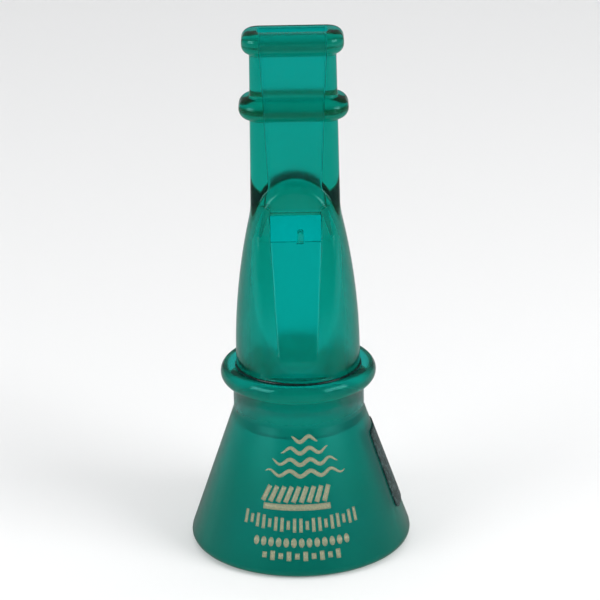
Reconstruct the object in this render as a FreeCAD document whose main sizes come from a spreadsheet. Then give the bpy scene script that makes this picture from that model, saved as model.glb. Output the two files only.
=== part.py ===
import FreeCAD, Part
import math
import os
import Sketcher

# A whistle-type hawk call: a clear barrel whose tenon plugs into a frosted bell, sealed by an O-ring.
# Frame: the bell stands on its mouth at z = 0, +Z runs up the call's axis to the mouthpiece,
# and the sound window faces -Y. All sizes are in millimetres.

SIZES = {
    # bell
    "bell_base_radius": 24.6,
    "bell_wall": 2.7,
    "bell_rim_round": 1.6,
    "crease_height": 30.3,
    "neck_radius": 14.1,
    "ring_height": 39.1,
    "ring_centre_radius": 14.3,
    "ring_section": 2.45,
    "ring_lip_radius": 15.8,
    "socket_radius": 12.42,
    "rebate_radius": 13.5,
    "seat_height": 39.95,
    # tenon and seal
    "tenon_radius": 12.35,
    "tenon_end": 27.0,
    "tenon_bevel": 0.5,
    "shoulder_height": 39.98,
    "seal_height": 33.5,
    "seal_section": 0.48,
    "seal_centre_radius": 11.92,
    "seal_groove_radius": 11.4,
    "seal_groove_width": 1.3,
    # barrel
    "barrel_radius": 13.33,
    "nose_start": 42.4,
    "nose_arc": 138.0,
    "cap_radius": 9.4,
    "bore_radius": 10.6,
    "bore_tip": 81.5,
    # flat front panel of the barrel; its depth is how far in front of the axis it lies
    "panel_foot": 41.0,
    "panel_foot_depth": 11.5,
    "panel_bend": 71.0,
    "panel_bend_depth": 6.6,
    "panel_top": 92.0,
    "panel_top_depth": 6.15,
    "panel_arc": 105.0,
    # flat mouthpiece tube, and the two bands round it
    "tube_root": 66.0,
    "tube_root_width": 19.12,
    "tube_root_depth": 8.5,
    "tube_end": 112.0,
    "tube_end_width": 17.94,
    "tube_end_depth": 7.7,
    "tube_corner": 2.2,
    "bead_height": 97.5,
    "bead_section": 2.3,
    "bead_width": 22.75,
    "bead_depth": 12.3,
    "bead_corner": 4.4,
    "lip_bottom": 109.0,
    "lip_top": 113.65,
    "lip_width": 21.2,
    "lip_depth": 10.9,
    "lip_corner": 3.7,
    "lip_round": 2.0,
    # windway, window, labium and ramp
    "windway_mouth_width": 14.4,
    "windway_mouth_depth": 3.9,
    "windway_exit_width": 10.7,
    "windway_exit_depth": 1.3,
    "windway_exit_shift": 2.45,
    "windway_corner": 0.4,
    "block_wall": 1.2,
    "window_top": 75.4,
    "window_bottom": 68.4,
    "window_width": 10.7,
    "labium_depth": 2.8,
    "labium_edge": 0.55,
    "ramp_foot": 41.0,
    "ramp_foot_width": 7.8,
    "ramp_foot_depth": 12.75,
    "liner_foot": 42.0,
    "liner_foot_depth": 10.5,
    "nub_width": 1.4,
    "nub_arc": 0.71,
    "nub_rise": 2.2,
    "nub_shift": 0.95,
    "nub_length": 2.4,
    # side label
    "label_low": 8.0,
    "label_high": 25.5,
    "label_angle": 34.0,
    "label_thickness": 0.3,
    # how far a cutting solid runs past what it cuts
    "overrun": 16.0,
}


def make_sheet(doc):
    """Put every driving dimension in a spreadsheet, one alias a row."""
    sheet = doc.addObject("Spreadsheet::Sheet", "Sizes")
    for row, (alias, value) in enumerate(SIZES.items(), start=1):
        sheet.set("A%d" % row, alias)
        sheet.set("B%d" % row, str(value))
        sheet.setAlias("B%d" % row, alias)
    doc.recompute()
    return sheet


doc = FreeCAD.newDocument("hawk_call")
sheet = make_sheet(doc)


def value_of(rule):
    """The present value of a sheet expression, for the first guess that a sketch is drawn at."""
    return float(sheet.evalExpression(rule))


def origin_plane(body, role):
    """One of a body's own origin planes."""
    for feature in body.Origin.OriginFeatures:
        if feature.Role == role:
            return feature
    raise ValueError(role)


def new_sketch(body, name, role, lift=None):
    """A sketch on one of the body's origin planes, lifted along its normal by a sheet expression."""
    sketch = body.newObject("Sketcher::SketchObject", name)
    sketch.AttachmentSupport = (origin_plane(body, role), [""])
    sketch.MapMode = "FlatFace"
    if lift:
        sketch.setExpression("AttachmentOffset.Base.z", lift)
    return sketch


def hold(sketch, kind, rule, *where):
    """Add a dimension to a sketch and bind it to the sheet."""
    index = sketch.addConstraint(Sketcher.Constraint(kind, *where))
    sketch.setExpression("Constraints[%d]" % index, rule)


def draw_outline(sketch, corners, arcs=None, dome=None):
    """A closed outline. A corner is two expressions; arcs maps a side's number to (radius, bulge).

    A bulge of 1 puts the arc to the left of the side's own direction, and -1 to its right. The side
    numbered dome is a quarter ellipse from a point beside the axis up to a point on it.
    """
    arcs = arcs or {}
    places = [FreeCAD.Vector(value_of(across), value_of(along), 0) for across, along in corners]
    count = len(corners)
    begins = []
    for side in range(count):
        first = places[side]
        last = places[(side + 1) % count]
        if side in arcs:
            radius_rule, bulge = arcs[side]
            shape = Part.Arc(first, arc_middle(first, last, value_of(radius_rule), bulge), last)
        elif side == dome:
            centre = FreeCAD.Vector(0, first.y, 0)
            oval = Part.Ellipse(last, FreeCAD.Vector(-first.x, first.y, 0), centre)
            shape = Part.ArcOfEllipse(oval, 1.5 * math.pi, 2 * math.pi)
        else:
            shape = Part.LineSegment(first, last)
        sketch.addGeometry(shape, False)
        drawn_forward = sketch.getPoint(side, 1).distanceToPoint(first) < 1e-6
        begins.append(1 if drawn_forward else 2)
    for side in range(count):
        following = (side + 1) % count
        finish = 3 - begins[side]
        sketch.addConstraint(Sketcher.Constraint("Coincident", side, finish, following, begins[following]))
        across, along = corners[side]
        hold(sketch, "DistanceX", across, -1, 1, side, begins[side], places[side].x)
        hold(sketch, "DistanceY", along, -1, 1, side, begins[side], places[side].y)
    for side, (radius_rule, _) in arcs.items():
        hold(sketch, "Radius", radius_rule, side, value_of(radius_rule))
    if dome is not None:
        sketch.addConstraint(Sketcher.Constraint("PointOnObject", dome, 3, -2))
        hold(sketch, "DistanceY", corners[dome][1], -1, 1, dome, 3, places[dome].y)
        long_axis = len(sketch.Geometry)
        sketch.exposeInternalGeometry(dome)
        sketch.addConstraint(Sketcher.Constraint("Vertical", long_axis))


def arc_middle(first, last, radius, bulge):
    """The halfway point of an arc of this radius, left (1) or right (-1) of the way from first to last."""
    half = (last - first) * 0.5
    sagitta = radius - math.sqrt(radius ** 2 - half.Length ** 2)
    left = FreeCAD.Vector(-half.y, half.x, 0).normalize()
    return first + half + left * (bulge * sagitta)


def draw_rounded_box(sketch, width_rule, depth_rule, corner_rule):
    """A rounded rectangle centred on the sketch's origin."""
    wide = "(%s) / 2" % width_rule
    deep = "(%s) / 2" % depth_rule
    wide_in = "%s - %s" % (wide, corner_rule)
    deep_in = "%s - %s" % (deep, corner_rule)
    corners = [
        (wide_in, "-(%s)" % deep),
        (wide, "-(%s)" % deep_in),
        (wide, deep_in),
        (wide_in, deep),
        ("-(%s)" % wide_in, deep),
        ("-(%s)" % wide, deep_in),
        ("-(%s)" % wide, "-(%s)" % deep_in),
        ("-(%s)" % wide_in, "-(%s)" % deep),
    ]
    draw_outline(sketch, corners, {side: (corner_rule, -1) for side in (0, 2, 4, 6)})


def new_body(label):
    """A PartDesign body with the label of what it is."""
    body = doc.addObject("PartDesign::Body", label)
    body.Label = label
    return body


def revolve(body, name, corners, arcs=None, dome=None, angle_rule=None):
    """A solid of revolution about the call's axis from a half-section in the XZ plane."""
    sketch = new_sketch(body, name + "_section", "XZ_Plane")
    draw_outline(sketch, corners, arcs, dome)
    turned = body.newObject("PartDesign::Revolution", name)
    turned.Profile = sketch
    turned.ReferenceAxis = (sketch, ["V_Axis"])
    turned.Angle = 360.0
    if angle_rule:
        turned.setExpression("Angle", angle_rule)
        turned.Midplane = True
    doc.recompute()
    return turned


def flat_faces(feature):
    """The names of a feature's two faces that lie square to the call's axis."""
    names = []
    for number, face in enumerate(feature.Shape.Faces, start=1):
        if isinstance(face.Surface, Part.Plane) and abs(face.normalAt(0, 0).z) > 0.999:
            names.append("Face%d" % number)
    return names


def rounded_band(label, bottom_rule, height_rule, width_rule, depth_rule, corner_rule, round_rule):
    """A band round the mouthpiece: a rounded box whose top and bottom edges are rounded over."""
    body = new_body(label)
    sketch = new_sketch(body, label + "_plan", "XY_Plane", bottom_rule)
    draw_rounded_box(sketch, width_rule, depth_rule, corner_rule)
    pad = body.newObject("PartDesign::Pad", label + "_pad")
    pad.Profile = sketch
    pad.setExpression("Length", height_rule)
    doc.recompute()
    fillet = body.newObject("PartDesign::Fillet", label + "_round")
    fillet.Base = (pad, flat_faces(pad))
    fillet.setExpression("Radius", round_rule)
    doc.recompute()
    return body


def loft_between(label, low, high):
    """A tapering solid between two rounded boxes; low and high are (height, width, depth, corner, shift)."""
    body = new_body(label)
    sections = []
    for name, (height, width, depth, corner, shift) in (("low", low), ("high", high)):
        sketch = new_sketch(body, label + "_" + name, "XY_Plane", height)
        if shift:
            sketch.setExpression("AttachmentOffset.Base.y", shift)
        draw_rounded_box(sketch, width, depth, corner)
        sections.append(sketch)
    loft = body.newObject("PartDesign::AdditiveLoft", label + "_loft")
    loft.Profile = sections[0]
    loft.Sections = sections[1:]
    loft.Ruled = True
    doc.recompute()
    return body


def slab_in_front(label, corners, arcs, half_width_rule):
    """A solid drawn in the YZ plane and padded the same distance to both sides."""
    body = new_body(label)
    sketch = new_sketch(body, label + "_side", "YZ_Plane")
    draw_outline(sketch, corners, arcs)
    pad = body.newObject("PartDesign::Pad", label + "_pad")
    pad.Profile = sketch
    pad.Midplane = True
    pad.setExpression("Length", "2 * (%s)" % half_width_rule)
    doc.recompute()
    return body


def boolean(kind, label, base, tool):
    """A Part boolean of two objects."""
    joined = doc.addObject("Part::" + kind, label)
    joined.Base = base
    joined.Tool = tool
    doc.recompute()
    return joined


BELL_SLOPE = "(Sizes.bell_base_radius - Sizes.neck_radius) / Sizes.crease_height"


def make_bell():
    """The frosted bell: cone, neck, rolled ring, socket for the tenon and a sloping seat for the barrel's foot."""
    body = new_body("bell")
    mouth = "Sizes.bell_base_radius - Sizes.bell_wall"
    ring_low = (
        "Sizes.ring_height - sqrt(Sizes.ring_section ^ 2"
        " - (Sizes.ring_centre_radius - Sizes.neck_radius) ^ 2)"
    )
    ring_lip = (
        "Sizes.ring_height + sqrt(Sizes.ring_section ^ 2"
        " - (Sizes.ring_centre_radius - Sizes.ring_lip_radius) ^ 2)"
    )
    corners = [
        (mouth, "0"),
        ("Sizes.bell_base_radius", "0"),
        ("Sizes.neck_radius", "Sizes.crease_height"),
        ("Sizes.neck_radius", ring_low),
        ("Sizes.ring_centre_radius + Sizes.ring_section", "Sizes.ring_height"),
        ("Sizes.ring_lip_radius", ring_lip),
        ("Sizes.rebate_radius", "Sizes.seat_height"),
        ("Sizes.socket_radius", "Sizes.seat_height"),
        ("Sizes.socket_radius", "(%s - Sizes.socket_radius) / (%s)" % (mouth, BELL_SLOPE)),
    ]
    arcs = {3: ("Sizes.ring_section", -1), 4: ("Sizes.ring_section", -1)}
    turned = revolve(body, "bell_turned", corners, arcs)
    rim = body.newObject("PartDesign::Fillet", "bell_rim")
    rim.Base = (turned, [rim_edge(turned.Shape)])
    rim.setExpression("Radius", "Sizes.bell_rim_round")
    doc.recompute()
    return body


def rim_edge(shape):
    """The name of the widest circular edge of a turned shape."""
    widths = {}
    for number, edge in enumerate(shape.Edges, start=1):
        if isinstance(edge.Curve, Part.Circle):
            widths["Edge%d" % number] = edge.Curve.Radius
    return max(widths, key=widths.get)


def make_label():
    """The thin label wrapped on the bell's +X side."""
    body = new_body("side_label")
    low = "Sizes.bell_base_radius - Sizes.label_low * %s" % BELL_SLOPE
    high = "Sizes.bell_base_radius - Sizes.label_high * %s" % BELL_SLOPE
    corners = [
        (low, "Sizes.label_low"),
        (low + " + Sizes.label_thickness", "Sizes.label_low"),
        (high + " + Sizes.label_thickness", "Sizes.label_high"),
        (high, "Sizes.label_high"),
    ]
    revolve(body, "label_turned", corners, angle_rule="Sizes.label_angle")
    return body


def make_seal():
    """The O-ring in the tenon's groove."""
    seal = doc.addObject("Part::Torus", "tenon_seal")
    seal.setExpression("Radius1", "Sizes.seal_centre_radius")
    seal.setExpression("Radius2", "Sizes.seal_section")
    seal.setExpression("Placement.Base.z", "Sizes.seal_height")
    return seal


NOSE_CENTRE = "(Sizes.barrel_radius - Sizes.nose_arc)"
CAP_HEIGHT = (
    "(Sizes.nose_start + sqrt((Sizes.nose_arc - Sizes.cap_radius) ^ 2"
    " - (Sizes.nose_arc - Sizes.barrel_radius) ^ 2))"
)
CAP_SHARE = "(Sizes.nose_arc / (Sizes.nose_arc - Sizes.cap_radius))"


def make_barrel_turned():
    """The barrel's round outside: tenon with its seal groove, shoulder, cylinder, arched nose and round cap."""
    body = new_body("barrel_turned")
    groove_low = "Sizes.seal_height - Sizes.seal_groove_width / 2"
    groove_high = "Sizes.seal_height + Sizes.seal_groove_width / 2"
    corners = [
        ("0", "Sizes.tenon_end"),
        ("Sizes.tenon_radius - Sizes.tenon_bevel", "Sizes.tenon_end"),
        ("Sizes.tenon_radius", "Sizes.tenon_end + Sizes.tenon_bevel"),
        ("Sizes.tenon_radius", groove_low),
        ("Sizes.seal_groove_radius", groove_low),
        ("Sizes.seal_groove_radius", groove_high),
        ("Sizes.tenon_radius", groove_high),
        ("Sizes.tenon_radius", "Sizes.shoulder_height"),
        ("Sizes.barrel_radius", "Sizes.shoulder_height"),
        ("Sizes.barrel_radius", "Sizes.nose_start"),
        (
            "%s * (1 - %s)" % (NOSE_CENTRE, CAP_SHARE),
            "Sizes.nose_start + (%s - Sizes.nose_start) * %s" % (CAP_HEIGHT, CAP_SHARE),
        ),
        ("0", "%s + Sizes.cap_radius" % CAP_HEIGHT),
    ]
    revolve(body, "barrel_outside", corners, {9: ("Sizes.nose_arc", -1), 10: ("Sizes.cap_radius", -1)})
    return body


def make_bore():
    """The round bore with its domed end, as a solid to cut away."""
    body = new_body("bore")
    corners = [
        ("0", "Sizes.tenon_end - 1"),
        ("Sizes.bore_radius", "Sizes.tenon_end - 1"),
        ("Sizes.bore_radius", "Sizes.nose_start"),
        ("0", "Sizes.bore_tip"),
    ]
    revolve(body, "bore_inside", corners, dome=2)
    return body


def make_panel_cut():
    """What is cut from the front of the nose to leave the flat panel round the window."""
    corners = [
        ("-Sizes.panel_foot_depth", "Sizes.panel_foot"),
        ("-Sizes.panel_bend_depth", "Sizes.panel_bend"),
        ("-Sizes.panel_top_depth", "Sizes.panel_top"),
        ("-Sizes.overrun", "Sizes.panel_top"),
        ("-Sizes.overrun", "Sizes.panel_foot"),
    ]
    return slab_in_front("panel_cut", corners, {0: ("Sizes.panel_arc", 1)}, "Sizes.overrun")


def make_front_wall():
    """What the bore leaves standing in front: behind the ramp, beside the window and behind the windway."""
    labium_back = "-Sizes.labium_depth + Sizes.labium_edge"
    block_back = "Sizes.windway_exit_depth / 2 - Sizes.windway_exit_shift + Sizes.block_wall"
    corners = [
        ("-Sizes.liner_foot_depth", "Sizes.liner_foot"),
        (labium_back, "Sizes.window_bottom"),
        (labium_back, "Sizes.window_top"),
        (block_back, "Sizes.window_top"),
        (block_back + " + 1", "Sizes.panel_top"),
        ("-Sizes.overrun", "Sizes.panel_top"),
        ("-Sizes.overrun", "Sizes.liner_foot"),
    ]
    return slab_in_front("front_wall", corners, {}, "Sizes.overrun")


def make_window_cut():
    """The window, cut square through the front wall into the bore."""
    corners = [
        ("-Sizes.overrun", "Sizes.window_bottom"),
        ("-1", "Sizes.window_bottom"),
        ("-1", "Sizes.window_top"),
        ("-Sizes.overrun", "Sizes.window_top"),
    ]
    return slab_in_front("window_cut", corners, {}, "Sizes.window_width / 2")


def make_ramp_cut():
    """The tapering ramp that leads up to the labium's edge."""
    foot_depth = "Sizes.overrun - Sizes.ramp_foot_depth"
    edge_depth = "Sizes.overrun - Sizes.labium_depth"
    low = (
        "Sizes.ramp_foot",
        "Sizes.ramp_foot_width",
        foot_depth,
        "Sizes.windway_corner",
        "-(Sizes.overrun + Sizes.ramp_foot_depth) / 2",
    )
    high = (
        "Sizes.window_bottom",
        "Sizes.window_width",
        edge_depth,
        "Sizes.windway_corner",
        "-(Sizes.overrun + Sizes.labium_depth) / 2",
    )
    return loft_between("ramp_cut", low, high)


def make_windway_cut():
    """The windway: wide at the mouthpiece, a thin slot where it aims at the labium."""
    low = (
        "Sizes.window_top - 0.5",
        "Sizes.windway_exit_width",
        "Sizes.windway_exit_depth",
        "Sizes.windway_corner",
        "-Sizes.windway_exit_shift",
    )
    high = (
        "Sizes.lip_top + 0.5",
        "Sizes.windway_mouth_width",
        "Sizes.windway_mouth_depth",
        "Sizes.windway_corner",
        None,
    )
    return loft_between("windway_cut", low, high)


def make_tube():
    """The flat mouthpiece tube, a little narrower at its end than at its root."""
    low = ("Sizes.tube_root", "Sizes.tube_root_width", "Sizes.tube_root_depth", "Sizes.tube_corner", None)
    high = ("Sizes.tube_end", "Sizes.tube_end_width", "Sizes.tube_end_depth", "Sizes.tube_corner", None)
    return loft_between("mouthpiece_tube", low, high)


def make_bead():
    """The half-round bead part of the way up the mouthpiece."""
    return rounded_band(
        "bead",
        "Sizes.bead_height - Sizes.bead_section - 0.05",
        "2 * Sizes.bead_section + 0.1",
        "Sizes.bead_width",
        "Sizes.bead_depth",
        "Sizes.bead_corner",
        "Sizes.bead_section",
    )


def make_lip():
    """The rounded lip at the mouthpiece's end."""
    return rounded_band(
        "lip",
        "Sizes.lip_bottom",
        "Sizes.lip_top - Sizes.lip_bottom",
        "Sizes.lip_width",
        "Sizes.lip_depth",
        "Sizes.lip_corner",
        "Sizes.lip_round",
    )


def make_nub():
    """The small round-topped tongue behind the labium's edge, a little to one side of the middle."""
    body = new_body("nub")
    sketch = new_sketch(body, "nub_front", "XZ_Plane", "Sizes.labium_depth - Sizes.nub_length")
    left = "Sizes.nub_shift - Sizes.nub_width / 2"
    right = "Sizes.nub_shift + Sizes.nub_width / 2"
    top = "Sizes.window_bottom + Sizes.nub_rise - Sizes.nub_width / 2"
    corners = [
        (left, "Sizes.window_bottom - 0.5"),
        (right, "Sizes.window_bottom - 0.5"),
        (right, top),
        (left, top),
    ]
    draw_outline(sketch, corners, {2: ("Sizes.nub_arc", -1)})
    pad = body.newObject("PartDesign::Pad", "nub_pad")
    pad.Profile = sketch
    pad.setExpression("Length", "Sizes.nub_length")
    doc.recompute()
    return body


def make_barrel():
    """The barrel moulding: nose, panel, mouthpiece and bands joined, then hollowed."""
    faced = boolean("Cut", "barrel_faced", make_barrel_turned(), make_panel_cut())
    solid = faced
    for number, piece in enumerate([make_tube(), make_bead(), make_lip()], start=1):
        solid = boolean("Fuse", "barrel_joined_%d" % number, solid, piece)
    cavity = boolean("Cut", "bore_behind_wall", make_bore(), make_front_wall())
    cavity = boolean("Fuse", "bore_and_window", cavity, make_window_cut())
    cavity = boolean("Fuse", "bore_and_windway", cavity, make_windway_cut())
    hollow = boolean("Cut", "barrel_hollow", solid, cavity)
    ramped = boolean("Cut", "barrel_ramped", hollow, make_ramp_cut())
    barrel = boolean("Fuse", "barrel", ramped, make_nub())
    return barrel


def check_document():
    """Stop if any object of the document failed to build."""
    for item in doc.Objects:
        for word in ("Invalid", "Error"):
            if word in item.State:
                raise RuntimeError("%s is %s" % (item.Label, item.State))


def check_and_export(parts):
    """Check each sub-part's solid, then write each one to its own file."""
    check_document()
    for part in parts:
        shape = part.Shape
        if shape.isNull() or not shape.isValid():
            raise RuntimeError("%s has no valid shape" % part.Label)
        print(part.Label, len(shape.Solids), "solid(s)", round(shape.Volume, 1), "mm3", shape.BoundBox)
    os.makedirs("parts", exist_ok=True)
    for part in parts:
        part.Shape.exportStep("parts/%s.step" % part.Label)


PARTS = [make_bell(), make_label(), make_seal(), make_barrel()]
doc.recompute()
check_and_export(PARTS)
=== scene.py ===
import math

import bpy
import numpy as np
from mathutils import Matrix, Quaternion, Vector


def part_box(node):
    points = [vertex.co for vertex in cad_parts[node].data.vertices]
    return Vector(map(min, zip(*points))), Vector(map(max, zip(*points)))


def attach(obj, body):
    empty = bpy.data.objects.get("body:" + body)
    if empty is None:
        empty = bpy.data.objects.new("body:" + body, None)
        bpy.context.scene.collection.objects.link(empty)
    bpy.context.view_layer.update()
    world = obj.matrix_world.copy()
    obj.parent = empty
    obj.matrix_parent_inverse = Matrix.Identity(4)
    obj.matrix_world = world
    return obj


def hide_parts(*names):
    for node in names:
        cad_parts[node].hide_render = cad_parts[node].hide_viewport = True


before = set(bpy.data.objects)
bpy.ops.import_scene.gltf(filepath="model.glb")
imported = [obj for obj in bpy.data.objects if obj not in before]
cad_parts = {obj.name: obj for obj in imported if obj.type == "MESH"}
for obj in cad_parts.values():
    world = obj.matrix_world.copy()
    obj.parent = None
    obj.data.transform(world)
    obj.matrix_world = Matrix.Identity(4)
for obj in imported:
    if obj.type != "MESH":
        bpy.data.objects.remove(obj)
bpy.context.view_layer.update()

MM = 0.001

# ------------------------------------------------------------------ sizes in millimetres
# The boxes come from the frame. The other sizes are the CAD model's, set out from them where they can be.
BARREL_LOW, BARREL_HIGH = (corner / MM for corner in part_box("barrel"))
BELL_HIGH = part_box("bell")[1] / MM
SEAL_LOW, SEAL_HIGH = (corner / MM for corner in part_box("tenon_seal"))
LABEL_LOW, LABEL_HIGH = (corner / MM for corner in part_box("side_label"))

# barrel, from its tenon's end up to the mouthpiece's lip
BARREL_RADIUS = BARREL_HIGH.x
TENON_END, LIP_TOP = BARREL_LOW.z, BARREL_HIGH.z
TENON_RADIUS = BARREL_RADIUS - 0.98
TENON_BEVEL = 0.5
SHOULDER = TENON_END + 12.98
SEAL_HEIGHT = (SEAL_LOW.z + SEAL_HIGH.z) / 2
GROOVE_RADIUS, GROOVE_WIDTH = 11.4, 1.3
NOSE_START, NOSE_ARC, CAP_RADIUS = TENON_END + 15.4, 138.0, 9.4
BORE_RADIUS, BORE_LENGTH = BARREL_RADIUS - 2.73, 39.1
PANEL_FOOT, PANEL_FOOT_DEPTH = TENON_END + 14.0, 11.5
PANEL_BEND, PANEL_BEND_DEPTH = TENON_END + 44.0, 6.6
PANEL_TOP, PANEL_TOP_DEPTH = TENON_END + 65.0, 6.15
PANEL_ARC = 105.0
TUBE_ROOT, TUBE_ROOT_HALF = TENON_END + 39.0, (9.56, 4.25)
TUBE_END, TUBE_END_HALF = LIP_TOP - 1.65, (8.97, 3.85)
TUBE_CORNER = 2.2
BEAD_HEIGHT, BEAD_SECTION = LIP_TOP - 16.15, 2.3
LIP_BOTTOM, LIP_HALF, LIP_CORNER, LIP_ROUND = LIP_TOP - 4.65, (10.6, 5.45), 3.7, 2.0

# airway: windway, window, labium and the ramp below it
WINDWAY_EXIT, WINDWAY_EXIT_HALF, WINDWAY_EXIT_DEPTH = TENON_END + 47.9, (5.35, 0.65), 2.45
WINDWAY_MOUTH, WINDWAY_MOUTH_HALF = LIP_TOP + 0.5, (7.2, 1.95)
WINDWAY_CORNER, BLOCK_WALL = 0.4, 1.2
WINDOW_BOTTOM, WINDOW_TOP, WINDOW_HALF, WINDOW_BACK = TENON_END + 41.4, TENON_END + 48.4, 5.35, 1.0
LABIUM_DEPTH, LABIUM_EDGE = 2.8, 0.55
RAMP_FOOT_HALF, RAMP_FOOT_DEPTH = 3.9, 12.75
LINER_FOOT, LINER_FOOT_DEPTH = TENON_END + 15.0, 10.5
NUB_HALF, NUB_RISE, NUB_SHIFT, NUB_LENGTH = 0.7, 2.1, 0.95, 2.4

# bell
BELL_RADIUS, BELL_WALL, RIM_ROUND = 24.6, 2.7, 1.6
CREASE, NECK_RADIUS = 30.3, 14.1
CONE_SLOPE = (BELL_RADIUS - NECK_RADIUS) / CREASE
RING_SECTION = 2.45
RING_HEIGHT, RING_CENTRE = BELL_HIGH.z - RING_SECTION, 14.3
RING_LIP_RADIUS = 15.8
SOCKET_RADIUS, REBATE_RADIUS, SEAT = 12.42, 13.5, 39.95

STEP = 0.3     # the spacing of the barrel's mesh


# ------------------------------------------------------------------ shapes as distance fields, in mm
def soft_union(a, b, size):
    """Both shapes, with a fillet where they meet."""
    near = np.maximum(size - np.abs(a - b), 0.0) / size
    return np.minimum(a, b) - near * near * size / 4


def soft_common(a, b, size):
    """What two shapes share, with its edges rounded."""
    return -soft_union(-a, -b, size)


def slab(value, low, high):
    """Everything between two planes."""
    return np.abs(value - (low + high) / 2) - (high - low) / 2


def taper(z, low, high, at_low, at_high):
    """A size that runs in a straight line from at_low to at_high, between two heights and beyond."""
    return at_low + (at_high - at_low) * (z - low) / (high - low)


def rounded_box(x, y, half, corner):
    """The distance to an upright rounded rectangle."""
    over_x = np.abs(x) - half[0] + corner
    over_y = np.abs(y) - half[1] + corner
    outside = np.hypot(np.maximum(over_x, 0.0), np.maximum(over_y, 0.0))
    return outside + np.minimum(np.maximum(over_x, over_y), 0.0) - corner


def tapered_box(x, y, z, low, high, half_low, half_high, corner):
    """A rounded rectangle whose size changes with height."""
    half = [taper(z, low, high, a, b) for a, b in zip(half_low, half_high)]
    return rounded_box(x, y, half, corner)


def bore(x, y, z):
    """An upright cylinder that turns into half an ellipsoid at NOSE_START."""
    rise = np.maximum(z - NOSE_START, 0.0)
    reach = np.sqrt((x * x + y * y) / BORE_RADIUS ** 2 + rise * rise / BORE_LENGTH ** 2) + 1e-9
    slope = np.sqrt((x * x + y * y) / BORE_RADIUS ** 4 + rise * rise / BORE_LENGTH ** 4) + 1e-9
    return reach * (reach - 1.0) / slope


def bullet(x, y, z):
    """The barrel's round outside: a cylinder, then a long arc inwards, then a round cap."""
    across, rise = np.hypot(x, y), np.maximum(z - NOSE_START, 0.0)
    centre = BARREL_RADIUS - NOSE_ARC
    cap_rise = math.sqrt((NOSE_ARC - CAP_RADIUS) ** 2 - centre ** 2)
    side = np.hypot(across - centre, rise) - NOSE_ARC
    cap = np.hypot(across, rise - cap_rise) - CAP_RADIUS
    return np.where(rise - cap_rise > -across * cap_rise / centre, cap, side)


def panel_depth(z):
    """How far in front of the axis the flat panel lies: a shallow arc, and above its bend almost upright."""
    run, fall = PANEL_BEND - PANEL_FOOT, PANEL_FOOT_DEPTH - PANEL_BEND_DEPTH
    half = math.hypot(run, fall) / 2
    rise = PANEL_ARC - math.sqrt(PANEL_ARC ** 2 - half ** 2)
    part = np.clip((z - PANEL_FOOT) / run, 0.0, 1.0)
    arc = PANEL_FOOT_DEPTH - fall * part + 4 * rise * part * (1 - part)
    upper = taper(z, PANEL_BEND, PANEL_TOP, PANEL_BEND_DEPTH, PANEL_TOP_DEPTH)
    return np.where(z < PANEL_BEND, arc, upper)


def barrel_nose(x, y, z):
    """The bullet-shaped body with its flat panel in front."""
    nose = soft_common(bullet(x, y, z), SHOULDER - z, 0.4)
    cut = np.maximum(y + panel_depth(z), PANEL_FOOT - z)
    return soft_common(nose, -cut, 0.5)


def barrel_tenon(x, y, z):
    """The plug that goes into the bell, with the seal's groove."""
    across = np.hypot(x, y)
    plug = soft_common(across - TENON_RADIUS, slab(z, TENON_END, SHOULDER + 1.0), TENON_BEVEL)
    groove_height = slab(z, SEAL_HEIGHT - GROOVE_WIDTH / 2, SEAL_HEIGHT + GROOVE_WIDTH / 2)
    groove = np.maximum(GROOVE_RADIUS - across, groove_height)
    return soft_common(plug, -groove, 0.15)


def mouthpiece(x, y, z):
    """The flat tube with its raised bead and its lip."""
    tube = tapered_box(x, y, z, TUBE_ROOT, TUBE_END, TUBE_ROOT_HALF, TUBE_END_HALF, TUBE_CORNER)
    bead = np.hypot(np.maximum(tube, 0.0), z - BEAD_HEIGHT) - BEAD_SECTION
    lip_out = rounded_box(x, y, LIP_HALF, LIP_CORNER) + LIP_ROUND
    lip_up = slab(z, LIP_BOTTOM + LIP_ROUND, LIP_TOP - LIP_ROUND)
    lip_edge = np.hypot(np.maximum(lip_out, 0.0), np.maximum(lip_up, 0.0))
    lip = lip_edge + np.minimum(np.maximum(lip_out, lip_up), 0.0) - LIP_ROUND
    tube = np.maximum(tube, slab(z, TUBE_ROOT, TUBE_END))
    return soft_union(soft_union(tube, bead, 0.5), lip, 0.5)


def tone_chamber(x, y, z):
    """The bore behind the ramp, the window's sides and the windway's floor."""
    labium_back = LABIUM_DEPTH - LABIUM_EDGE
    wall_depth = np.maximum(taper(z, LINER_FOOT, WINDOW_BOTTOM, LINER_FOOT_DEPTH, labium_back), labium_back)
    wall = np.maximum(y + wall_depth, LINER_FOOT - z)
    block_back = WINDWAY_EXIT_DEPTH - WINDWAY_EXIT_HALF[1] - BLOCK_WALL
    block = np.maximum(y + taper(z, WINDOW_TOP, PANEL_TOP, block_back, block_back - 1.0), WINDOW_TOP - z)
    return soft_common(soft_common(bore(x, y, z), -wall, 0.4), -block, 0.4)


def windway(x, y, z):
    """The flat air slot from the lip down to the window."""
    depth = taper(z, WINDWAY_EXIT, WINDWAY_MOUTH, WINDWAY_EXIT_DEPTH, 0.0)
    slot = tapered_box(
        x, y + depth, z, WINDWAY_EXIT, WINDWAY_MOUTH, WINDWAY_EXIT_HALF, WINDWAY_MOUTH_HALF, WINDWAY_CORNER
    )
    return np.maximum(slot, WINDWAY_EXIT - z)


def window_cut(x, y, z):
    """The opening in front of the labium."""
    sides = np.maximum(np.abs(x) - WINDOW_HALF, slab(z, WINDOW_BOTTOM, WINDOW_TOP))
    return np.maximum(sides, y + WINDOW_BACK)


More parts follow.
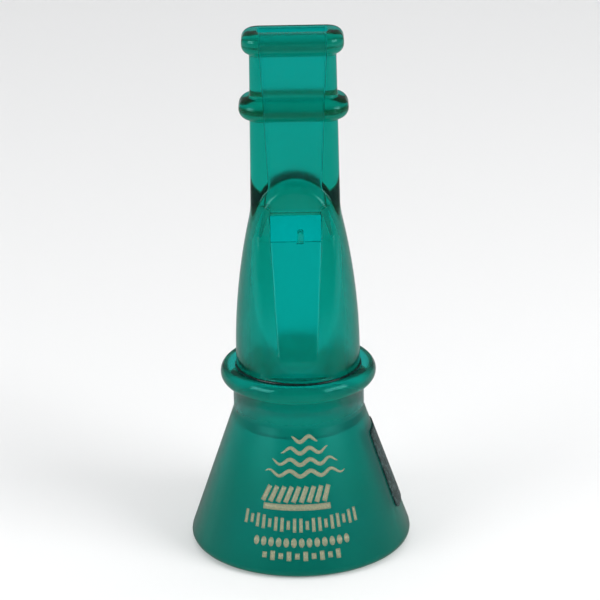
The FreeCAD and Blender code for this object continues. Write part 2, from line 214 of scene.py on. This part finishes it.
def ramp_cut(x, y, z):
    """The tapering channel that leads up to the labium."""
    half = taper(z, PANEL_FOOT, WINDOW_BOTTOM, RAMP_FOOT_HALF, WINDOW_HALF)
    depth = taper(z, PANEL_FOOT, WINDOW_BOTTOM, RAMP_FOOT_DEPTH, LABIUM_DEPTH)
    channel = soft_common(np.abs(x) - half, y + depth, 0.3)
    return np.maximum(channel, slab(z, PANEL_FOOT, WINDOW_BOTTOM + 0.1))


def labium_nub(x, y, z):
    """The small round-topped tongue that stands behind the labium's edge."""
    across, centre = x - NUB_SHIFT, WINDOW_BOTTOM + NUB_RISE - NUB_HALF
    stem = np.maximum(np.abs(across) - NUB_HALF, slab(z, WINDOW_BOTTOM - 0.5, centre))
    front = np.minimum(np.hypot(across, z - centre) - NUB_HALF, stem)
    return np.maximum(front, slab(y, -LABIUM_DEPTH, NUB_LENGTH - LABIUM_DEPTH))


def barrel_shape(x, y, z):
    """The whole barrel moulding: negative inside the plastic."""
    solid = soft_union(barrel_nose(x, y, z), mouthpiece(x, y, z), 0.5)
    solid = np.minimum(solid, barrel_tenon(x, y, z))
    for hollow in (tone_chamber, windway, window_cut, ramp_cut):
        solid = soft_common(solid, -hollow(x, y, z), 0.25)
    return np.minimum(solid, labium_nub(x, y, z))


# ------------------------------------------------------------------ meshes
def surface_slope(shape, points, gap=0.01):
    """Which way the field rises at each point, and how steeply."""
    slope = np.empty_like(points)
    for axis in range(3):
        ahead, behind = points.copy(), points.copy()
        ahead[:, axis] += gap
        behind[:, axis] -= gap
        slope[:, axis] = (shape(*ahead.T) - shape(*behind.T)) / (2 * gap)
    return slope


def shape_mesh(shape, low, high, step):
    """A closed quad mesh on a field's surface, with one point in each cell that the surface crosses."""
    axes = [np.arange(a - 2 * step, b + 2 * step, step) for a, b in zip(low, high)]
    values = shape(*np.meshgrid(*axes, indexing="ij"))
    inside = values < 0
    size = tuple(count - 1 for count in inside.shape)
    corners = np.zeros(size, int)
    for i, j, k in np.ndindex(2, 2, 2):
        corners += inside[i:i + size[0], j:j + size[1], k:k + size[2]]
    crossed = (corners > 0) & (corners < 8)
    number = np.full(size, -1)
    number[crossed] = np.arange(crossed.sum())
    total = np.zeros((crossed.sum(), 3))
    count = np.zeros((crossed.sum(), 1))
    quads = []
    for axis in range(3):
        across, up = (axis + 1) % 3, (axis + 2) % 3
        first = np.moveaxis(inside, axis, 0)
        edges = np.argwhere(first[:-1] != first[1:])
        edges = edges[:, np.argsort([axis] + [n for n in range(3) if n != axis])]
        beyond = edges + np.eye(3, dtype=int)[axis]
        here, there = values[tuple(edges.T)], values[tuple(beyond.T)]
        place = np.stack([axes[n][edges[:, n]] for n in range(3)], axis=1)
        place[:, axis] += step * here / (here - there)
        ring = []
        for back_across, back_up in ((1, 1), (0, 1), (0, 0), (1, 0)):
            cell = edges.copy()
            cell[:, across] -= back_across
            cell[:, up] -= back_up
            ring.append(number[tuple(cell.T)])
            np.add.at(total, ring[-1], place)
            np.add.at(count, ring[-1], 1)
        quad = np.stack(ring, axis=1)
        quads.append(np.where((here > 0)[:, None], quad[:, ::-1], quad))
    points = total / count
    for _ in range(4):
        slope = surface_slope(shape, points)
        steepness = np.maximum((slope ** 2).sum(axis=1), 0.3)
        move = -slope * (shape(*points.T) / steepness)[:, None]
        points += np.clip(move, -0.3 * step, 0.3 * step)
    slope = surface_slope(shape, points)
    return points, np.concatenate(quads), slope / np.linalg.norm(slope, axis=1, keepdims=True)


def new_piece(name, points, faces, body, material, normals=None):
    """A smooth-shaded piece from points in millimetres, riding on a body."""
    mesh = bpy.data.meshes.new(name)
    mesh.from_pydata((np.asarray(points) * MM).tolist(), [], np.asarray(faces).tolist())
    mesh.validate()
    mesh.shade_smooth()
    if normals is not None:
        mesh.normals_split_custom_set_from_vertices(normals.tolist())
    mesh.materials.append(material)
    piece = bpy.data.objects.new(name, mesh)
    bpy.context.scene.collection.objects.link(piece)
    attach(piece, body)
    return piece


def mark_points(piece, name, values):
    """A value at each point of a piece, for its material to read."""
    attribute = piece.data.attributes.new(name, "FLOAT", "POINT")
    attribute.data.foreach_set("value", np.asarray(values, dtype=np.float32))


def rounded_outline(corners, pieces=6):
    """A closed outline of (across, up, round) corners, each round made of short straight pieces."""
    outline = []
    for index, (x, y, radius) in enumerate(corners):
        here = np.array([x, y])
        before = np.array(corners[index - 1][:2]) - here
        after = np.array(corners[(index + 1) % len(corners)][:2]) - here
        if radius == 0:
            outline.append(here)
            continue
        before /= np.linalg.norm(before)
        after /= np.linalg.norm(after)
        half_turn = math.acos(np.clip(before @ after, -1, 1)) / 2
        reach = radius / math.tan(half_turn)
        middle = (before + after) / np.linalg.norm(before + after)
        centre = here + middle * radius / math.sin(half_turn)
        start, end = here + before * reach - centre, here + after * reach - centre
        sweep = math.pi - 2 * half_turn
        for part in np.linspace(0, 1, pieces + 1):
            share_start = math.sin((1 - part) * sweep) / math.sin(sweep)
            share_end = math.sin(part * sweep) / math.sin(sweep)
            outline.append(centre + start * share_start + end * share_end)
    return np.array(outline)


def turned(outline, turns=288):
    """Points and quads of a closed outline of (radius, height) spun about the axis."""
    angle = np.linspace(0, 2 * math.pi, turns, endpoint=False)
    radius, height = outline[:, 0], outline[:, 1]
    heights = np.tile(height, (turns, 1))
    points = np.stack([np.outer(np.cos(angle), radius), np.outer(np.sin(angle), radius), heights], axis=-1)
    around, along = np.meshgrid(np.arange(turns), np.arange(len(outline)), indexing="ij")
    next_around, next_along = (around + 1) % turns, (along + 1) % len(outline)
    rows = [around * len(outline) + along, next_around * len(outline) + along]
    rows += [next_around * len(outline) + next_along, around * len(outline) + next_along]
    return points.reshape(-1, 3), np.stack(rows, axis=-1).reshape(-1, 4)


def cone_radius(z):
    """The bell's outer radius at a height on the cone."""
    return BELL_RADIUS - CONE_SLOPE * z


def on_cone(around, z, lift):
    """A point on the bell's cone: around from the front towards +X in radians, lifted off the surface."""
    tilt = math.atan(CONE_SLOPE)
    radius = cone_radius(z) + lift * math.cos(tilt)
    return np.stack([radius * np.sin(around), -radius * np.cos(around), z + lift * math.sin(tilt)], axis=-1)


def ribbon(path, half_width, row_radius, low, high, strips=2, turn=0.0):
    """A thin closed band on the cone along a path of (around, up) in millimetres, between two lifts."""
    path = np.asarray(path, float)
    along = np.gradient(path, axis=0)
    along /= np.linalg.norm(along, axis=1, keepdims=True)
    side = np.stack([-along[:, 1], along[:, 0]], axis=1)
    across = np.linspace(-1, 1, strips + 1)
    reach = np.asarray(half_width)[:, None, None] * across[None, :, None]
    flat = path[:, None, :] + side[:, None, :] * reach
    layers = [on_cone(turn + flat[..., 0] / row_radius, flat[..., 1], lift) for lift in (high, low)]
    points = np.concatenate([layer.reshape(-1, 3) for layer in layers])
    rows, columns = len(path), strips + 1
    faces = []
    for i in range(rows - 1):
        for j in range(strips):
            a = i * columns + j
            faces.append((a, a + columns, a + columns + 1, a + 1))
            faces.append(tuple(rows * columns + n for n in (a, a + 1, a + columns + 1, a + columns)))
    rim = [i * columns for i in range(rows)]
    rim += [(rows - 1) * columns + j for j in range(1, columns)]
    rim += [i * columns + strips for i in range(rows - 2, -1, -1)]
    rim += list(range(strips - 1, 0, -1))
    for here, there in zip(rim, rim[1:] + rim[:1]):
        faces.append((here, rows * columns + here, rows * columns + there, there))
    return points, faces


def joined(parts):
    """Several (points, faces) as one."""
    points, faces, start = [], [], 0
    for part_points, part_faces in parts:
        points.append(part_points)
        faces += [tuple(start + n for n in face) for face in part_faces]
        start += len(part_points)
    return np.concatenate(points), faces


# ------------------------------------------------------------------ materials
def new_material(name):
    """A material with its Principled shader and its node tree."""
    material = bpy.data.materials.new(name)
    material.use_nodes = True
    return material, material.node_tree, material.node_tree.nodes["Principled BSDF"]


def set_inputs(node, **values):
    """Sets a node's inputs by name, with _ for a space."""
    for name, value in values.items():
        node.inputs[name.replace("_", " ")].default_value = value


def noise(tree, scale, detail=3.0, roughness=0.5, stretch=(1, 1, 1)):
    """Noise in the object's own metres: scale is in cells per metre."""
    place = tree.nodes.new("ShaderNodeTexCoord")
    mapping = tree.nodes.new("ShaderNodeMapping")
    mapping.inputs["Scale"].default_value = stretch
    tree.links.new(place.outputs["Object"], mapping.inputs["Vector"])
    texture = tree.nodes.new("ShaderNodeTexNoise")
    set_inputs(texture, Scale=scale, Detail=detail, Roughness=roughness)
    tree.links.new(mapping.outputs["Vector"], texture.inputs["Vector"])
    return texture.outputs["Fac"]


def remap(tree, value, low, high, to_low, to_high):
    """A value moved from one range to another and held inside it."""
    node = tree.nodes.new("ShaderNodeMapRange")
    set_inputs(node, From_Min=low, From_Max=high, To_Min=to_low, To_Max=to_high)
    tree.links.new(value, node.inputs["Value"])
    return node.outputs["Result"]


def product(tree, first, second):
    """Two values multiplied."""
    node = tree.nodes.new("ShaderNodeMath")
    node.operation = "MULTIPLY"
    tree.links.new(first, node.inputs[0])
    tree.links.new(second, node.inputs[1])
    return node.outputs["Value"]


def marked(tree, name):
    """The value that mark_points left on a piece."""
    node = tree.nodes.new("ShaderNodeAttribute")
    node.attribute_name = name
    return node.outputs["Fac"]


def colour_mix(tree, factor, first, second):
    """A colour between two, by a factor."""
    node = tree.nodes.new("ShaderNodeMix")
    node.data_type = "RGBA"
    tree.links.new(factor, node.inputs[0])
    for socket, value in ((node.inputs[6], first), (node.inputs[7], second)):
        if isinstance(value, tuple):
            socket.default_value = (*value, 1)
        else:
            tree.links.new(value, socket)
    return node.outputs[2]


def bump(tree, shader, height, distance, strength=1.0, after=None):
    """Adds a bump of a height in metres to a shader's normal."""
    node = tree.nodes.new("ShaderNodeBump")
    set_inputs(node, Strength=strength, Distance=distance)
    tree.links.new(height, node.inputs["Height"])
    if after is not None:
        tree.links.new(after, node.inputs["Normal"])
    tree.links.new(node.outputs["Normal"], shader.inputs["Normal"])
    return node.outputs["Normal"]


def absorb(tree, per_mm):
    """Fills a closed piece with plastic that passes this share of red, green and blue per millimetre."""
    loss = [-math.log(share) / MM for share in per_mm]
    volume = tree.nodes.new("ShaderNodeVolumeAbsorption")
    volume.inputs["Density"].default_value = max(loss)
    volume.inputs["Color"].default_value = (*(1 - one / max(loss) for one in loss), 1)
    tree.links.new(volume.outputs["Volume"], tree.nodes["Material Output"].inputs["Volume"])


ACRYLIC_IOR = 1.49
# the share of red, green and blue light that a millimetre of each plastic lets through
CLEAR_PASS, FROSTED_PASS = (0.25, 0.94, 0.905), (0.30, 0.96, 0.93)


def clear_green_material():
    """Clear green acrylic: a little waviness from the mould, a faint haze from handling, and a painted shade
    that darkens the bead and the lip.
    """
    hidden_dullness, wave_height, scratch_depth = 2.2, 0.03 * MM, 0.0015 * MM
    material, tree, shader = new_material("clear_green_plastic")
    set_inputs(shader, IOR=ACRYLIC_IOR, Transmission_Weight=1.0, Specular_IOR_Level=0.35)
    unshaded_tint = colour_mix(tree, noise(tree, 90.0, 2.0), (0.018, 0.96, 0.92), (0.022, 1.0, 0.97))
    # the bead and the lip are tinted darker: painted shade
    tint = colour_mix(tree, marked(tree, "band"), unshaded_tint, (0.015, 0.80, 0.74))
    tree.links.new(tint, shader.inputs["Base Color"])
    haze = remap(tree, noise(tree, 420.0, 5.0, 0.65), 0.35, 0.75, 0.13, 0.18)
    hidden = remap(tree, marked(tree, "hidden"), 0.0, 1.0, 1.0, hidden_dullness)
    tree.links.new(product(tree, haze, hidden), shader.inputs["Roughness"])
    set_inputs(shader, Specular_Tint=(0.30, 0.90, 0.85, 1))
    waves = bump(tree, shader, noise(tree, 130.0, 1.0, stretch=(1, 1, 0.35)), wave_height)
    bump(tree, shader, noise(tree, 900.0, 2.0, stretch=(1, 1, 0.2)), scratch_depth, after=waves)
    absorb(tree, CLEAR_PASS)
    return material


def frosted_green_material():
    """The same plastic, frosted all over but for its polished ring, with a painted shade that makes it
    darker down the cone towards the mouth, and a painted reflection that greys its edges.
    """
    polish, wave_height = 0.27, 0.02 * MM
    material, tree, shader = new_material("frosted_green_plastic")
    set_inputs(shader, IOR=ACRYLIC_IOR, Specular_IOR_Level=0.35, Specular_Tint=(0.20, 0.95, 0.90, 1))
    clear_share = remap(tree, marked(tree, "upper"), 0.0, 1.0, 0.82, 0.92)
    tree.links.new(clear_share, shader.inputs["Transmission Weight"])
    cone = colour_mix(tree, noise(tree, 120.0, 3.0), (0.006, 0.505, 0.39), (0.009, 0.565, 0.445))
    # the cone's tint darkens from the neck down to the mouth: painted shade
    painted_shade_tint = colour_mix(tree, marked(tree, "upper"), cone, (0.012, 0.97, 0.92))
    # edges seen at a slant are tinted dark grey: a painted reflection
    edge = tree.nodes.new("ShaderNodeLayerWeight")
    set_inputs(edge, Blend=0.5)
    painted_edge_reflection = remap(tree, edge.outputs["Facing"], 0.55, 0.95, 0.0, 0.8)
    tint = colour_mix(tree, painted_edge_reflection, painted_shade_tint, (0.16, 0.26, 0.22))
    tree.links.new(tint, shader.inputs["Base Color"])
    # a roughness that varies below 0.28 leaves grain in the render
    haze = remap(tree, noise(tree, 500.0, 4.0, 0.6), 0.3, 0.7, 0.28, 0.32)
    frosted = remap(tree, marked(tree, "frosted"), 0.0, 1.0, polish, 1.0)
    tree.links.new(product(tree, haze, frosted), shader.inputs["Roughness"])
    bump(tree, shader, noise(tree, 180.0, 2.0), wave_height)
    absorb(tree, FROSTED_PASS)
    return material


def seal_material():
    """Pale translucent silicone rubber with a faint moulding texture."""
    material, tree, shader = new_material("silicone")
    set_inputs(shader, IOR=1.41, Transmission_Weight=0.95)
    tint = colour_mix(tree, noise(tree, 700.0, 3.0), (0.30, 0.85, 0.80), (0.36, 0.92, 0.87))
    tree.links.new(tint, shader.inputs["Base Color"])
    dull = remap(tree, noise(tree, 1500.0, 3.0), 0.3, 0.7, 0.35, 0.5)
    tree.links.new(dull, shader.inputs["Roughness"])
    bump(tree, shader, noise(tree, 3000.0, 2.0), 0.000006)
    return material


def label_material():
    """Dark vinyl with a fine pale grit in upright rows, worn in places."""
    material, tree, shader = new_material("label_vinyl")
    grit = remap(tree, noise(tree, 1500.0, 4.0, 0.8, stretch=(1, 1, 0.6)), 0.50, 0.62, 0.0, 1.0)
    ground = colour_mix(tree, noise(tree, 300.0, 3.0), (0.002, 0.020, 0.021), (0.004, 0.035, 0.034))
    tint = colour_mix(tree, grit, ground, (0.13, 0.27, 0.25))
    tree.links.new(tint, shader.inputs["Base Color"])
    dull = remap(tree, noise(tree, 800.0, 3.0), 0.3, 0.7, 0.30, 0.50)
    tree.links.new(dull, shader.inputs["Roughness"])
    bump(tree, shader, grit, 0.00002)
    return material


def print_material():
    """Dull gold ink, a little thin in places."""
    material, tree, shader = new_material("gold_ink")
    worn = remap(tree, noise(tree, 2200.0, 4.0, 0.7), 0.40, 0.60, 0.0, 1.0)
    tint = colour_mix(tree, worn, (0.42, 0.50, 0.33), (0.62, 0.58, 0.37))
    tree.links.new(tint, shader.inputs["Base Color"])
    set_inputs(shader, Metallic=0.1)
    dull = remap(tree, worn, 0.0, 1.0, 0.55, 0.38)
    tree.links.new(dull, shader.inputs["Roughness"])
    bump(tree, shader, worn, 0.000006)
    return material


def gap_shade_material():
    """A near-black film standing in for the shade in the gap at the barrel's foot: painted shade."""
    material, tree, shader = new_material("foot_gap_shade")
    # near-black: painted shade
    tint = colour_mix(tree, noise(tree, 900.0, 4.0), (0.001, 0.012, 0.011), (0.002, 0.028, 0.025))
    tree.links.new(tint, shader.inputs["Base Color"])
    wet = remap(tree, noise(tree, 1200.0, 3.0), 0.3, 0.7, 0.15, 0.45)
    tree.links.new(wet, shader.inputs["Roughness"])
    bump(tree, shader, noise(tree, 1800.0, 3.0), 0.00003)
    return material


def floor_material():
    """A plain pale table, cooler and dimmer as seen through the plastic."""
    seen, lighting, through = (0.86, 0.86, 0.86), (0.38, 0.39, 0.39), (0.13, 0.446, 0.49)
    material, tree, shader = new_material("pale_floor")
    set_inputs(shader, Roughness=0.9, Specular_IOR_Level=0.0)
    path = tree.nodes.new("ShaderNodeLightPath")
    plain = colour_mix(tree, path.outputs["Is Camera Ray"], lighting, seen)
    tint = colour_mix(tree, path.outputs["Is Transmission Ray"], plain, through)
    tree.links.new(tint, shader.inputs["Base Color"])
    return material


# ------------------------------------------------------------------ pieces
def make_barrel(material):
    """The clear barrel and mouthpiece, one moulding, with its hidden faces marked, and its raised bands
    marked for a painted shade.
    """
    hidden_reach, band_edge = 0.2, 0.5
    points, faces, normals = shape_mesh(barrel_shape, BARREL_LOW, BARREL_HIGH, STEP)
    piece = new_piece("clear_barrel", points, faces, "barrel_body", material, normals)
    inside = np.minimum(np.abs(tone_chamber(*points.T)), np.abs(windway(*points.T)))
    mark_points(piece, "hidden", (inside < hidden_reach) | (points[:, 2] < SHOULDER - 0.3))
    # the bead and the lip, which take the painted shade
    band = np.minimum(np.abs(points[:, 2] - BEAD_HEIGHT) - BEAD_SECTION, LIP_BOTTOM - points[:, 2])
    mark_points(piece, "band", np.clip(band_edge - band, 0.0, 1.0))
    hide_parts("barrel")


def bell_outline():
    """The bell's wall, from the mouth up the outside, over the ring and down through the socket."""
    ring_foot = RING_HEIGHT - math.sqrt(RING_SECTION ** 2 - (RING_CENTRE - NECK_RADIUS) ** 2)
    first = math.atan2(ring_foot - RING_HEIGHT, NECK_RADIUS - RING_CENTRE)
    last = math.acos((RING_LIP_RADIUS - RING_CENTRE) / RING_SECTION)
    angles = np.linspace(first % (2 * math.pi) - 2 * math.pi, last, 30)
    ring_across = RING_CENTRE + RING_SECTION * np.cos(angles)
    ring_up = RING_HEIGHT + RING_SECTION * np.sin(angles)
    ring = [(across, up, 0) for across, up in zip(ring_across, ring_up)]
    mouth_inside = BELL_RADIUS - BELL_WALL
    cavity_top = (mouth_inside - SOCKET_RADIUS) / CONE_SLOPE
    corners = [(mouth_inside, 0.0, 0.4), (BELL_RADIUS, 0.0, RIM_ROUND), (NECK_RADIUS, CREASE, 1.5)]
    corners += ring
    corners += [(REBATE_RADIUS, SEAT, 0.1), (SOCKET_RADIUS, SEAT, 0.2), (SOCKET_RADIUS, cavity_top, 0.8)]
    return rounded_outline(corners)


def make_bell(material):
    """The frosted bell with its ring, marked for its finish and for a painted shade that darkens it towards
    the mouth.
    """
    fade_foot, fade_height, cone_share = CREASE - 4.0, 6.0, 0.44
    points, faces = turned(bell_outline())
    piece = new_piece("frosted_bell", points, faces, "bell_body", material)
    across, up = np.hypot(points[:, 0], points[:, 1]), points[:, 2]
    mark_points(piece, "frosted", (across < REBATE_RADIUS) | (up < RING_HEIGHT - RING_SECTION))
    # the painted shade's mark, rising from the mouth to the neck
    rise = np.clip(up / fade_foot, 0.0, 1.0)
    fade = np.clip((up - fade_foot) / fade_height, 0.0, 1.0)
    mark_points(piece, "upper", cone_share * rise + (1 - cone_share) * fade)
    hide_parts("bell")


def make_seal(material):
    """The round ring in the tenon's groove."""
    section = (SEAL_HIGH.z - SEAL_LOW.z) / 2
    centre = SEAL_HIGH.x - section
    angles = np.linspace(0, 2 * math.pi, 24, endpoint=False)
    outline = np.stack([centre + section * np.cos(angles), SEAL_HEIGHT + section * np.sin(angles)], axis=1)
    points, faces = turned(outline, 192)
    piece = new_piece("silicone_seal", points, faces, "seal_body", material)
    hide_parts("tenon_seal")


def make_label(material):
    """The label on the bell's side, with rounded corners."""
    middle, half_high = (LABEL_LOW.z + LABEL_HIGH.z) / 2, (LABEL_HIGH.z - LABEL_LOW.z) / 2
    row_radius = cone_radius(middle)
    half_turn = math.asin(min(LABEL_HIGH.y / cone_radius(LABEL_LOW.z), 1.0))
    half_wide, corner, sink, lift = half_turn * row_radius, 1.2, -0.02, 0.28
    along = half_wide * np.sin(np.linspace(-math.pi / 2, math.pi / 2, 49))
    over = np.maximum(np.abs(along) - half_wide + corner, 0.0)
    half = half_high - corner + np.sqrt(np.maximum(corner ** 2 - over ** 2, 0.0))
    path = np.stack([along, np.full_like(along, middle)], axis=1)
    points, faces = ribbon(path, half, row_radius, sink, lift, strips=24, turn=math.pi / 2)
    piece = new_piece("bell_label", points, faces, "bell_body", material)
    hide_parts("side_label")


def make_foot_gap_shade(material):
    """An uneven dark film in the gap between the barrel's foot and the ring, widest in front: painted shade
    for the gap's shadow.
    """
    turns, clear, thick = 240, 0.03, 0.05
    angle = np.linspace(0, 2 * math.pi, turns, endpoint=False)
    wave = sum(np.sin(n * angle + 1.7 * n * n) / n for n in (2, 5, 9, 16, 27))
    front = np.clip(0.6 - np.sin(angle), 0.0, 1.0)
    foot = np.full(turns, SEAT + clear)
    top = SEAT + 0.2 + front * np.maximum(0.35 + 0.2 * wave, thick)
    inner = np.full(turns, BARREL_RADIUS + clear)
    gap = np.full(turns, REBATE_RADIUS - 0.02)
    outer = REBATE_RADIUS + front * np.maximum(0.28 - 0.12 * wave, thick)
    ring_lip = RING_HEIGHT + math.sqrt(RING_SECTION ** 2 - (RING_LIP_RADIUS - RING_CENTRE) ** 2)
    dish = taper(outer, REBATE_RADIUS, RING_LIP_RADIUS, SEAT, ring_lip) + 0.02
    rings = [(inner, top), (inner, foot), (gap, foot), (outer, dish)]
    rings += [(outer - 0.1, np.maximum(top, dish + thick))]
    points = [np.stack([r * np.cos(angle), r * np.sin(angle), z], axis=1) for r, z in rings]
    faces = []
    for i in range(turns):
        after = (i + 1) % turns
        for j in range(len(rings)):
            k = (j + 1) % len(rings)
            faces.append((j * turns + i, j * turns + after, k * turns + after, k * turns + i))
    new_piece("foot_gap_shade", np.concatenate(points), faces, "bell_body", material)


# the print, in millimetres: across from the bell's front, and up from its mouth
INK_LOW, INK_HIGH = -0.01, 0.035
RIPPLE_HEIGHT, RIPPLE_SHIFT, RIPPLE_SWING, RIPPLE_INK = 24.8, 1.1, 0.55, 0.42


def mark(path, half_width, up):
    """One closed patch of ink on the cone."""
    return ribbon(path, half_width, cone_radius(up), INK_LOW, INK_HIGH)


def bead(around, up, radius, tall):
    """A small upright oval of ink."""
    along = radius * np.sin(np.linspace(-math.pi / 2, math.pi / 2, 13))
    half = np.maximum(tall * np.sqrt(np.maximum(1 - (along / radius) ** 2, 0.0)), 0.02)
    return mark([(around + a, up) for a in along], half, up)


def bar(start, end, half_width):
    """A straight stroke of ink."""
    path = np.linspace(start, end, max(int(math.dist(start, end) / 0.5), 2) + 1)
    return mark(path, np.full(len(path), half_width), (start[1] + end[1]) / 2)


def ripple(wide, foot):
    """A wavy line that thins towards its ends."""
    across = np.linspace(-wide, wide, 61)
    path = np.stack([across + RIPPLE_SHIFT, foot + RIPPLE_SWING * np.sin(across * 1.5)], axis=1)
    half = RIPPLE_INK * np.sqrt(np.maximum(1 - (across / wide) ** 2, 0.02))
    return mark(path, half, RIPPLE_HEIGHT)


def front_marks():
    """Plain marks where the bell's front is printed: ripples, strokes, a bar, ticks, beads and dashes."""
    marks = [ripple(wide, 21.4 + 2.3 * index) for index, wide in enumerate((8.2, 7.0, 5.2, 3.0))]
    for index in range(9):
        foot = -8.0 + 1.62 * index
        marks.append(bar((foot, 15.6), (foot + 1.3, 18.8), 0.5))
    marks.append(bar((-8.1, 14.6), (6.5, 14.6), 0.62))
    for index in range(19):
        across, half = -12.15 + 1.35 * index, 0.9 if index % 3 == 1 else 1.4
        rise = 11.0 + 0.006 * across ** 2
        marks.append(bar((across, rise - half), (across, rise + half), 0.36))
    for index in range(13):
        marks.append(bead(-9.8 + 1.65 * index, 7.5, 0.6, 0.95))
    for index in range(10):
        across, half = -8.0 + 1.78 * index, 0.95 if index % 2 else 0.6
        marks.append(bar((across, 4.8 - half), (across, 4.8 + half), 0.5))
    return joined(marks)


def make_front_print(material):
    """The gold print on the bell's front."""
    points, faces = front_marks()
    mesh_faces = [list(face) for face in faces]
    new_piece("front_print", points, mesh_faces, "bell_body", material)


# ------------------------------------------------------------------ studio
TABLE_SIZE = 6.0


def make_floor(material):
    """The pale table the call stands on, just clear of its rim."""
    bpy.ops.mesh.primitive_plane_add(size=TABLE_SIZE, location=(0, 0, -0.2 * MM))
    floor = bpy.context.object
    floor.name = "floor"
    floor.data.materials.append(material)
    return floor


def light_floor(floor):
    """Two broad overhead lights for the table alone. The call shades only the first."""
    light_size, place = 3.0, (0, 0.2, 1.6)
    only_floor = bpy.data.collections.new("only_floor")
    only_floor.objects.link(floor)
    for name, power in (("floor_light", 22.0), ("floor_fill", 14.0)):
        light = bpy.data.lights.new(name, "AREA")
        light.size = light_size
        light.energy = power
        lamp = bpy.data.objects.new(name, light)
        lamp.location = place
        bpy.context.scene.collection.objects.link(lamp)
        lamp.light_linking.receiver_collection = only_floor
    lamp.light_linking.blocker_collection = only_floor


def softbox(name, azimuth):
    """A soft light aimed at the call: azimuth 0 is the camera's side, positive to the right."""
    width, height, distance, radiance, elevation = 0.42, 0.32, 0.7, 4.0, 22
    aim = Vector((0, 0, 0.06))
    turn, rise = math.radians(azimuth), math.radians(elevation)
    away = Vector((math.sin(turn) * math.cos(rise), -math.cos(turn) * math.cos(rise), math.sin(rise)))
    light = bpy.data.lights.new(name, "AREA")
    light.shape = "RECTANGLE"
    light.size, light.size_y = width, height
    light.energy = radiance * math.pi * width * height
    lamp = bpy.data.objects.new(name, light)
    lamp.location = aim + away * distance
    lamp.rotation_mode = "QUATERNION"
    lamp.rotation_quaternion = away.to_track_quat("Z", "Y")
    lamp.visible_transmission = False
    bpy.context.scene.collection.objects.link(lamp)


def make_camera():
    """A long lens, looking a little down."""
    tilt, away, aim_height = math.radians(20.06), 540.5 * MM, 54.32 * MM
    lean, aside = math.radians(1.0), 0.63 * MM
    back = Vector((0, -math.cos(tilt), math.sin(tilt)))
    data = bpy.data.cameras.new("camera")
    data.lens = 151.7
    data.clip_start, data.clip_end = 0.01, 20.0
    camera = bpy.data.objects.new("camera", data)
    camera.location = Vector((aside, 0, aim_height)) + back * away
    camera.rotation_mode = "QUATERNION"
    camera.rotation_quaternion = back.to_track_quat("Z", "Y") @ Quaternion((0, 0, 1), -lean)
    bpy.context.scene.collection.objects.link(camera)
    bpy.context.scene.camera = camera


def make_surroundings():
    """An even studio all round: dim for matt surfaces, and cool and brighter through the plastic."""
    plain, through = (0.14, 0.145, 0.15), (0.12, 0.48, 0.53)
    world = bpy.data.worlds.new("studio")
    world.use_nodes = True
    tree = world.node_tree
    path = tree.nodes.new("ShaderNodeLightPath")
    tint = colour_mix(tree, path.outputs["Is Transmission Ray"], plain, through)
    tree.links.new(tint, tree.nodes["Background"].inputs["Color"])
    bpy.context.scene.world = world
    bpy.context.scene.view_settings.view_transform = "Standard"
    bpy.context.scene.cycles.max_bounces = 32
    bpy.context.scene.cycles.transmission_bounces = 28
    bpy.context.scene.cycles.glossy_bounces = 8


make_camera()
make_barrel(clear_green_material())
make_bell(frosted_green_material())
make_seal(seal_material())
make_label(label_material())
make_foot_gap_shade(gap_shade_material())
make_front_print(print_material())
light_floor(make_floor(floor_material()))
softbox("softbox_left", -58)
softbox("softbox_right", 58)
make_surroundings()
